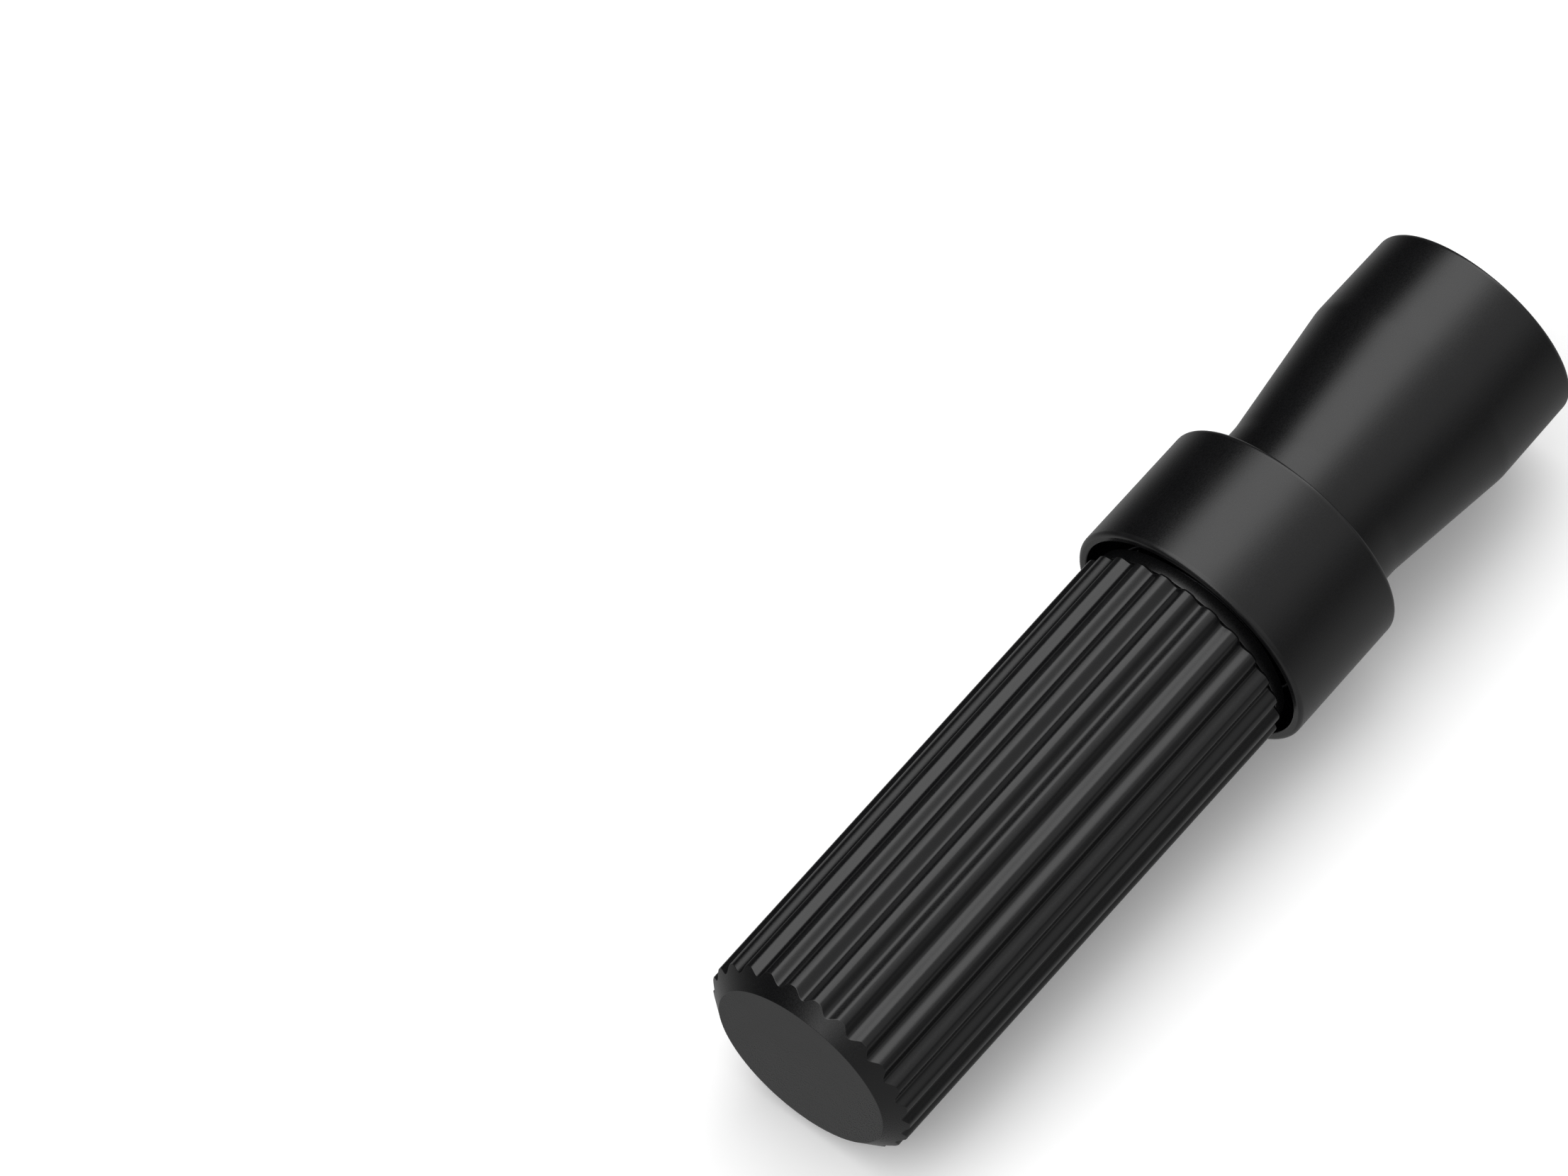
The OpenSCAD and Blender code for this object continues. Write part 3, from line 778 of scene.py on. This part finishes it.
class TOOL_OT_chuck(PieceOperator):
    """Chuck body with its spigot, flange, barrel and nose"""

    bl_idname = "springbar.chuck"
    bl_label = "Chuck body"

    def build(self, scene):
        """Closed outline carried round the axis, with a hole drilled for each ball."""
        sizes = scene.tool_chuck
        first, last = span("chuck_body")
        shoulder, flange_front = span("grip")[1], span("collar_spring")[0]
        flange = reach("chuck_body")
        ring = span("retaining_ring")
        spigot, barrel, socket = sizes.spigot / 2, sizes.barrel / 2, sizes.socket / 2
        rear, front = np.array(span("body_oring")), np.array(span("cap_oring"))
        rear += np.array((-0.5, 0.5)) * sizes.groove_spare
        front += np.array((-0.5, 0.5)) * sizes.groove_spare
        seat = barrel - sizes.ring_seat
        corners = [
            (first, socket), (first, spigot - sizes.edge), (first + sizes.edge, spigot),
            *block(*rear, spigot, sizes.rear_seat / 2),
            (shoulder, spigot), (shoulder, flange), (flange_front, flange), (flange_front, barrel),
            *block(*ring, barrel, seat), *block(*front, barrel, sizes.front_seat / 2),
            (last - 2 * sizes.edge, barrel), (last, barrel - 2 * sizes.edge),
            (last, socket + 2 * sizes.edge), (last - 2 * sizes.edge, socket),
        ]
        piece = turned("chuck", rounded(corners, sizes.edge_round, loop=True, steps=3), loop=True)
        low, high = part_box("ball_1")
        middle = (low.x + high.x) / 2
        hole = sizes.ball / 2 + sizes.ball_clear
        place = (middle, 0, AXIS_Z)
        drills = [drilled("drill", 0, 2 * barrel, hole, 48, place, outwards(turn)) for turn in BALL_TURNS]
        fitted(carve(piece, drills), "chuck_body", crease=35)


class TOOL_OT_collar(PieceOperator):
    """Release collar with its skirt, web and ramp"""

    bl_idname = "springbar.collar"
    bl_label = "Collar"

    def build(self, scene):
        """Closed outline carried round the axis."""
        sizes = scene.tool_collar
        rear, front = span("collar")
        web, floor = span("thrust_washer")[1], span("retaining_ring")[0]
        top, bore, skirt, recess = reach("collar"), sizes.bore / 2, sizes.skirt_bore / 2, sizes.recess / 2
        corners = [
            (rear, skirt), (rear, top), (front, top - sizes.taper / 2), (front, recess), (floor, recess),
            (floor, sizes.ramp_end / 2), (web + sizes.ramp_start, bore), (web, bore), (web, skirt),
        ]
        radii = np.full(len(corners), sizes.inner_round)
        radii[1:3] = sizes.edge_round
        # Share of lighter edge black on each corner: partly wear, partly a painted edge highlight.
        wear_and_sheen = [0.6, 1, 1, 0.8, 0, 0, 0, 0, 0]
        outline = rounded(corners, radii, loop=True, steps=8, wear_and_sheen=wear_and_sheen)
        fitted(turned("release_collar", outline, loop=True, columns=256), "collar")


class TOOL_OT_cap(PieceOperator):
    """Flared pull-off cap"""

    bl_idname = "springbar.cap"
    bl_label = "Cap"

    def build(self, scene):
        """Outline from the middle of the bore's floor, round the open end, to the middle of the far end."""
        sizes = scene.tool_cap
        rear, far = span("cap")
        flare = span("collar")[1] + sizes.flare_start
        wide_end = span("chuck_body")[1] + sizes.nose_gap
        floor = span("tip_cushion")[1]
        bore, neck, tip = sizes.bore / 2, sizes.neck / 2, sizes.tip_bore / 2
        corners = [
            (floor, 0), (floor, tip), (wide_end, tip), (wide_end, bore), (rear, bore), (rear, neck),
            (flare, neck), (flare + sizes.flare_l, reach("cap")), (far, sizes.rim / 2), (far, 0),
        ]
        radii = np.full(len(corners) - 2, sizes.inner_round)
        radii[5:] = sizes.flare_in, sizes.flare_out, sizes.edge_round
        # Share of lighter edge black on each corner: partly wear, partly a painted edge highlight.
        wear_and_sheen = [0, 0, 0, 0.5, 0.8, 0, 0, 1]
        fitted(turned("pull_off_cap", rounded(corners, radii, steps=10, wear_and_sheen=wear_and_sheen), columns=256), "cap")


class TOOL_OT_rings(PieceOperator):
    """Rubber rings on the spigot and on the nose"""

    bl_idname = "springbar.rings"
    bl_label = "Rubber rings"

    def build(self, scene):
        """Two rubber rings, each on its seat."""
        rubber_ring("rear_rubber_ring", "body_oring", scene.tool_chuck.rear_seat / 2)
        rubber_ring("front_rubber_ring", "cap_oring", scene.tool_chuck.front_seat / 2)


class TOOL_OT_spring(PieceOperator):
    """Collar spring"""

    bl_idname = "springbar.spring"
    bl_label = "Collar spring"

    def build(self, scene):
        """Round section carried along a helix. Its closed end turns rise by the wire and a small gap, and the
        turns between share the rest of the length."""
        sizes = scene.tool_spring
        rear, front = span("collar_spring")
        radius = sizes.wire / 2
        mean = reach("collar_spring") - radius
        closed = sizes.wire + sizes.end_gap
        last_open = sizes.turns - sizes.end_turns
        length = front - rear - sizes.wire
        knots = [0, sizes.end_turns, last_open, sizes.turns]
        heights = [0, sizes.end_turns * closed, length - sizes.end_turns * closed, length]
        turn = np.linspace(0, sizes.turns, 260)[:, None]
        rise = np.interp(turn, knots, heights)
        around = np.linspace(0, FULL_TURN, 20, endpoint=False)
        away = mean + radius * np.cos(around)
        angle = FULL_TURN * turn
        along = rear + radius + rise + radius * np.sin(around)
        coil = skin("coil_spring", about_axis(along, away, angle), "caps")
        piece = fitted(coil, "collar_spring", crease=50)
        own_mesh(piece)


class TOOL_OT_stops(PieceOperator):
    """Thrust washer and retaining ring"""

    bl_idname = "springbar.stops"
    bl_label = "Washer and retaining ring"

    def build(self, scene):
        """A closed outline carried round the axis, and a rounded section carried round most of it."""
        sizes = scene.tool_chuck
        rear, front = span("thrust_washer")
        top, bore = reach("thrust_washer"), sizes.washer_bore / 2
        outline = rounded(block(rear, front, bore, top), 0.06 * MM, loop=True, steps=3)
        fitted(turned("washer", outline, loop=True, columns=160), "thrust_washer")
        rear, front = span("retaining_ring")
        top, seat = reach("retaining_ring"), sizes.barrel / 2 - sizes.ring_seat
        section, _ = rounded(block(rear, front, seat, top), 0.08 * MM, loop=True, steps=3)
        half = sizes.ring_opening / 2
        angle = np.linspace(half, FULL_TURN - half, 140)[:, None]
        along = section[:, 0] * np.ones_like(angle)
        grid = about_axis(along, section[:, 1], angle)
        fitted(skin("snap_ring", grid, "caps"), "retaining_ring", crease=50)


class TOOL_OT_balls(PieceOperator):
    """Three locking balls"""

    bl_idname = "springbar.balls"
    bl_label = "Locking balls"

    def build(self, scene):
        """Half circles carried round the direction in which each ball moves."""
        radius = scene.tool_chuck.ball / 2
        middle = scene.tool_chuck.barrel / 2 - radius
        outline = half_circle(middle, radius, 33)
        for number, turn in enumerate(BALL_TURNS, start=1):
            node = f"ball_{number}"
            place = (sum(span(node)) / 2, 0, AXIS_Z)
            fitted(turned(f"steel_{node}", outline, columns=64, origin=place, along=outwards(turn)), node)


class TOOL_OT_holder(PieceOperator):
    """Reversible tip holder with its two set screws"""

    bl_idname = "springbar.holder"
    bl_label = "Tip holder"

    def build(self, scene):
        """Turned bar with a bore in each end, a dimple for each ball and a hole for each set screw."""
        sizes, chuck = scene.tool_tips, scene.tool_chuck
        rear, front = span("tip_holder")
        top, bore, edge = reach("tip_holder"), sizes.stem_bore / 2, sizes.holder_chamfer
        corners = [
            (rear + sizes.stem_l, 0), (rear + sizes.stem_l, bore), (rear, bore), (rear, top - edge),
            (rear + edge, top), (front - edge, top), (front, top - edge), (front, bore),
            (front - sizes.stem_l, bore), (front - sizes.stem_l, 0),
        ]
        holder = turned("double_ended_holder", rounded(corners, sizes.edge_round, steps=3))
        ball = chuck.ball / 2
        outline = half_circle(chuck.barrel / 2 - ball, ball + sizes.dimple_gap, 25)
        place = (sum(span("ball_1")) / 2, 0, AXIS_Z)
        drills = []
        for turn in BALL_TURNS:
            drills.append(turned("dimple", outline, columns=48, origin=place, along=outwards(turn)))
        screw = sizes.screw / 2
        hole = screw + sizes.screw_clear
        places = [(x, 0, AXIS_Z) for x in (rear + sizes.screw_in, front - sizes.screw_in)]
        for place in places:
            drills.append(drilled("hole", 0.4 * bore, 2 * top, hole, 32, place, outwards(SCREW_TURN)))
        fitted(carve(holder, drills), "tip_holder", crease=35)
        high, low = top - sizes.screw_low, reach("pin_tip")
        outline = rounded(block(low, high, 0, screw), 0.12 * MM, steps=3)
        corner = sizes.hexagon / 2
        sweep = FULL_TURN * np.arange(6) / 6
        screws = []
        for place in places:
            piece = turned("screw", outline, columns=48, origin=place, along=outwards(SCREW_TURN))
            across, beside = sides(outwards(SCREW_TURN))
            ring = corner * (np.cos(sweep)[:, None] * across + np.sin(sweep)[:, None] * beside)
            depths = np.array([high - sizes.hexagon_l, high + OVER])[:, None, None]
            socket = skin("socket", np.array(place) + depths * outwards(SCREW_TURN) + ring, "caps")
            screws.append(carve(piece, [socket]))
        fitted(gathered("grub_screws", screws), "tip_set_screws", crease=35)


class TOOL_OT_tips(PieceOperator):
    """Fork and pin in the holder, and the spare ones"""

    bl_idname = "springbar.tips"
    bl_label = "Tips"

    def build(self, scene):
        """Each spare tip stands in its hole of the rack, at the same distance from the axis."""
        sizes = scene.tool_tips
        across, upright = np.array([0, 1, 0]), np.array([0, 0, 1])
        centre = np.array([0, 0, AXIS_Z])
        fitted(fork("fork", span("fork_tip")[0], centre, across, upright), "fork_tip", crease=35)
        first, last = span("pin_tip")
        fitted(pin("pin", last, -1, last - first, centre), "pin_tip")
        start = span("spare_fork_tips")[0]
        forks = []
        for side in (-1, 1):
            place = centre + side * sizes.rack_circle * upright
            forks.append(fork("spare_fork", start, place, upright, across))
        fitted(gathered("spare_forks", forks), "spare_fork_tips", crease=35)
        start, end = span("spare_pin_tips")
        pins = []
        for side in (-1, 1):
            place = centre + side * sizes.rack_circle * across
            pins.append(pin("spare_pin", start, 1, end - start, place))
        fitted(gathered("spare_pins", pins), "spare_pin_tips")


class TOOL_OT_rack(PieceOperator):
    """Rack for the spare tips"""

    bl_idname = "springbar.rack"
    bl_label = "Rack"

    def build(self, scene):
        """Turned rod with a blind hole for each spare tip."""
        sizes = scene.tool_tips
        rear, front = span("tip_rack")
        top, hole = reach("tip_rack"), sizes.rack_hole / 2
        rack = turned("spare_tip_rack", rounded(block(rear, front, 0, top), 0.2 * MM, steps=5))
        floor = span("spare_fork_tips")[0]
        drills = []
        for turn in FULL_TURN * np.arange(4) / 4:
            place = np.array([0, 0, AXIS_Z]) + sizes.rack_circle * outwards(turn)
            drills.append(drilled("hole", floor, front + hole, hole, 40, place, (1, 0, 0)))
        fitted(carve(rack, drills), "tip_rack", crease=35)


class TOOL_OT_pads(PieceOperator):
    """Soft discs in the cap and under the rack"""

    bl_idname = "springbar.pads"
    bl_label = "Soft discs"

    def build(self, scene):
        """Two rubber discs with crowned faces."""
        disc("cap_pad", "tip_cushion")
        disc("rack_pad", "rack_cushion")


class TOOL_OT_stage(bpy.types.Operator):
    """Floor, light tent and camera"""

    bl_idname = "springbar.stage"
    bl_label = "Stage"
    bl_options = {"REGISTER", "UNDO"}

    def execute(self, context):
        """Builds the floor, the light and the camera."""
        settings = context.scene.tool_stage
        self.floor(settings)
        self.light(context.scene, settings)
        self.camera(context.scene, settings)
        context.scene.view_settings.view_transform = "Standard"
        return {"FINISHED"}

    def floor(self, settings):
        """Plain floor that touches the grip's closed end and the collar's rear edge. Its slope is that of the
        line between those two places, and it fades to level with the hyperbolic tangent of the distance."""
        scene = bpy.context.scene
        grip, collar = scene.tool_grip, scene.tool_collar
        rear_x = span("grip")[0] + grip.chamfer_l
        rear_z = AXIS_Z - grip.diameter / 2
        front_x = span("collar")[0] + collar.edge_round
        front_z = AXIS_Z - reach("collar")
        slope = (front_z - rear_z) / (front_x - rear_x)
        fine = 50 * MM  # the floor's grid is finest within this distance of the origin
        far = math.asinh(settings.floor_reach / fine)
        step = fine * np.sinh(np.linspace(-far, far, 121))
        x, y = np.meshgrid(step, step, indexing="ij")
        z = front_z + slope * settings.level_off * np.tanh((x - front_x) / settings.level_off)
        index = np.arange(x.size).reshape(x.shape)
        faces = np.stack([index[:-1, :-1], index[1:, :-1], index[1:, 1:], index[:-1, 1:]], axis=-1)
        mesh = bpy.data.meshes.new("floor")
        places = np.stack([x, y, z], axis=-1).reshape(-1, 3)
        mesh.from_pydata(places.tolist(), [], faces.reshape(-1, 4).tolist())
        mesh.shade_smooth()
        floor = bpy.data.objects.new("floor", mesh)
        scene.collection.objects.link(floor)
        material, tree = new_finish("floor")
        inputs = {"Base Color": rgba(settings.floor_colour), "Roughness": 0.9, "Specular IOR Level": 0.0}
        inputs.update({"Emission Color": (1, 1, 1, 1), "Emission Strength": settings.floor_glow})
        shader = add(tree, "ShaderNodeBsdfPrincipled", inputs)
        add(tree, "ShaderNodeOutputMaterial", {"Surface": shader.outputs[0]})
        mesh.materials.append(material)
        floor.visible_glossy = floor.visible_diffuse = floor.visible_shadow = False

    def light(self, scene, settings):
        """Light tent over the tool. Its brightness depends on the angle from straight up towards +Y or -Y, as
        under long softboxes that run along X. The camera sees a plain pale backdrop instead."""
        world = bpy.data.worlds.new("light_tent")
        scene.world = world
        world.use_nodes = True
        tree = world.node_tree
        tree.nodes.clear()
        ray = add(tree, "ShaderNodeTexCoord").outputs["Generated"]
        parts = add(tree, "ShaderNodeSeparateXYZ", {0: ray})
        angle = summed(tree, "ARCTAN2", parts.outputs["Y"], parts.outputs["Z"])
        place = ranged(tree, angle, 0, 1, -math.pi, math.pi)
        ramp = add(tree, "ShaderNodeValToRGB", {"Fac": place})
        stops = ramp.color_ramp.elements
        while len(stops) > 1:
            stops.remove(stops[-1])
        for number, (degrees, level) in enumerate(TENT):
            stop = stops[0] if number == 0 else stops.new(0.5 + degrees / 360)
            stop.position = 0.5 + degrees / 360
            stop.color = (level / TENT_TOP,) * 3 + (1,)
        path = add(tree, "ShaderNodeLightPath")
        inputs = {"Color": ramp.outputs[0], "Strength": TENT_TOP * settings.light}
        tent = add(tree, "ShaderNodeBackground", inputs)
        backdrop = add(tree, "ShaderNodeBackground", {"Color": (0.96, 0.96, 0.96, 1), "Strength": 1.0})
        inputs = {0: path.outputs["Is Camera Ray"], 1: tent.outputs[0], 2: backdrop.outputs[0]}
        seen = add(tree, "ShaderNodeMixShader", inputs)
        add(tree, "ShaderNodeOutputWorld", {"Surface": seen.outputs[0]})

    def camera(self, scene, settings):
        """Long lens that looks at a point beside the closed end, from the azimuth and the elevation."""
        turn, rise = settings.azimuth, settings.elevation
        back = np.array([math.sin(turn) * math.cos(rise), -math.cos(turn) * math.cos(rise), math.sin(rise)])
        right = np.array([math.cos(turn), math.sin(turn), 0])
        up = np.cross(back, right)
        closed_end = np.array([span("grip")[0], 0, AXIS_Z])
        place = closed_end + settings.aim_right * right + settings.aim_up * up + settings.distance * back
        camera = bpy.data.objects.new("camera", bpy.data.cameras.new("camera"))
        camera.data.lens = settings.lens
        camera.data.clip_start = 0.1
        camera.data.clip_end = 20
        axes = np.eye(4)
        axes[:3, :] = np.column_stack([right, up, back, place])
        camera.matrix_world = Matrix(axes.tolist())
        scene.collection.objects.link(camera)
        scene.camera = camera


# Brightness of the light tent at angles, in degrees, from straight up: minus is towards -Y, plus towards +Y.
# The key is a long softbox above and behind the tool, the fill is in front of it, and below is a grey table.
TENT = (
    (-180, 0.24), (-150, 0.32), (-120, 0.37), (-100, 0.26), (-85, 0.14), (-70, 0.27), (-50, 0.56),
    (-35, 0.55), (-20, 0.62), (-8, 1.14), (4, 2.18), (16, 2.22), (28, 2.22), (38, 2.20), (46, 1.2),
    (56, 0.02), (95, 0.0), (110, 0.08), (130, 0.33), (150, 0.38), (180, 0.24),
)
TENT_TOP = 3.0

GROUPS = {
    "tool_grip": GripSizes,
    "tool_chuck": ChuckSizes,
    "tool_spring": SpringSizes,
    "tool_collar": CollarSizes,
    "tool_cap": CapSizes,
    "tool_tips": TipSizes,
    "tool_finishes": Finishes,
    "tool_stage": StageSettings,
}
PIECES = (
    TOOL_OT_grip, TOOL_OT_chuck, TOOL_OT_collar, TOOL_OT_cap, TOOL_OT_rings, TOOL_OT_spring, TOOL_OT_stops,
    TOOL_OT_balls, TOOL_OT_holder, TOOL_OT_tips, TOOL_OT_rack, TOOL_OT_pads,
)


class TOOL_PT_panel(bpy.types.Panel):
    """Sidebar panel with one button for each piece and one for the stage"""

    bl_idname = "TOOL_PT_springbar"
    bl_label = "Pocket spring bar tool"
    bl_space_type = "VIEW_3D"
    bl_region_type = "UI"
    bl_category = "Spring bar tool"

    def draw(self, context):
        """Lists the operators and the sizes."""
        for operator in (*PIECES, TOOL_OT_stage):
            self.layout.operator(operator.bl_idname)
        for group in GROUPS:
            box = self.layout.box()
            box.label(text=GROUPS[group].__doc__)
            settings = getattr(context.scene, group)
            for name in settings.bl_rna.properties.keys():
                if name not in ("rna_type", "name"):
                    box.prop(settings, name)


CLASSES = (*GROUPS.values(), *PIECES, TOOL_OT_stage, TOOL_PT_panel)


def register():
    """Registers the classes and hangs the settings on the scene."""
    for item in CLASSES:
        bpy.utils.register_class(item)
    for name, group in GROUPS.items():
        setattr(bpy.types.Scene, name, PointerProperty(type=group))


def unregister():
    """Takes the settings and the classes away again."""
    for name in GROUPS:
        delattr(bpy.types.Scene, name)
    for item in reversed(CLASSES):
        bpy.utils.unregister_class(item)


def main():
    register()
    bpy.ops.springbar.stage()
    for operator in PIECES:
        getattr(bpy.ops.springbar, operator.bl_idname.split(".")[1])()


if __name__ == "__main__":
    main()
